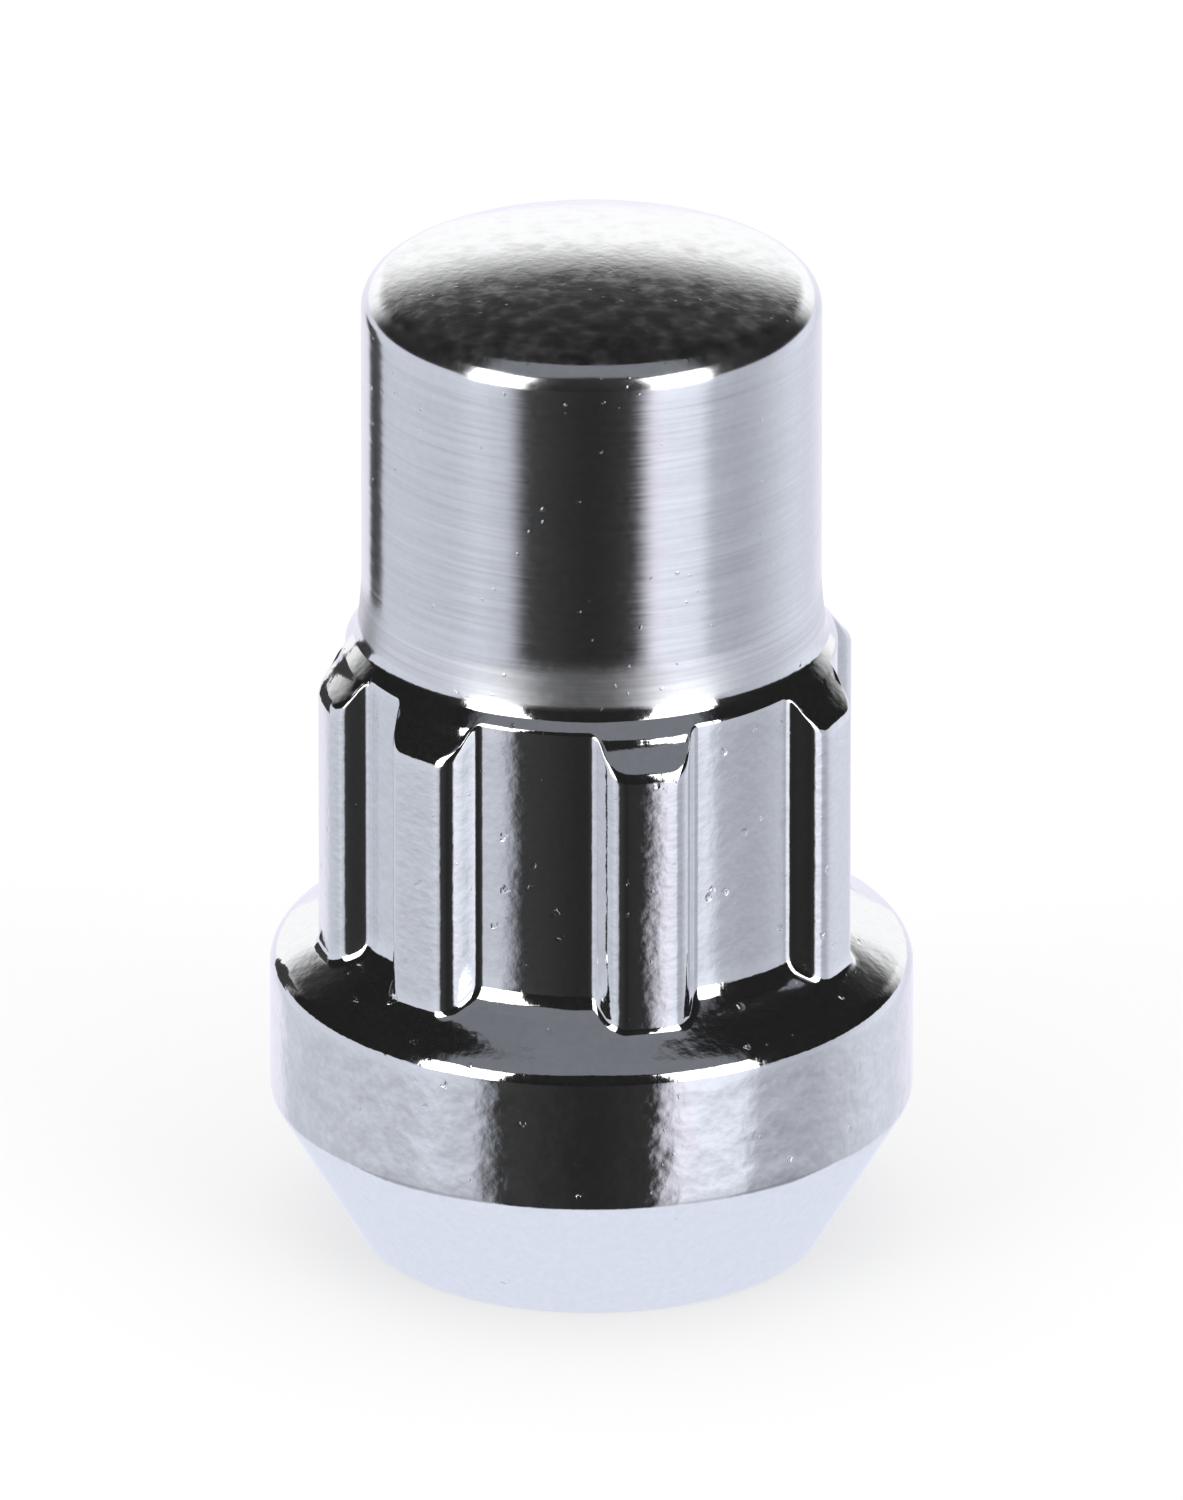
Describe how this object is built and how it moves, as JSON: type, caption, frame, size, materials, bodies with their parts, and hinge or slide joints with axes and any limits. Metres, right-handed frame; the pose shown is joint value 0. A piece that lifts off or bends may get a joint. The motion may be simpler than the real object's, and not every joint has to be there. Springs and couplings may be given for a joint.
{
  "type": "locking wheel nut",
  "caption": "Closed-end locking wheel nut in bright chrome, with a conical seat, a plain flange, an unevenly spaced spline drive, a round domed cap and a blind threaded bore.",
  "frame": {"origin": "on the nut's axis, in the plane of the flat ring at its seat end, on which it stands", "axes": "+Z along the nut's axis from the seat end to the domed cap; -Y faces the viewer of the picture"},
  "size_m": [0.0254, 0.0254, 0.0413],
  "materials": {
    "chrome": "bright chrome plate on forged steel, with faint turning lines on the cap"
  },
  "bodies": {
    "root": {"wheel_nut": "chrome"}
  },
  "joints": []
}
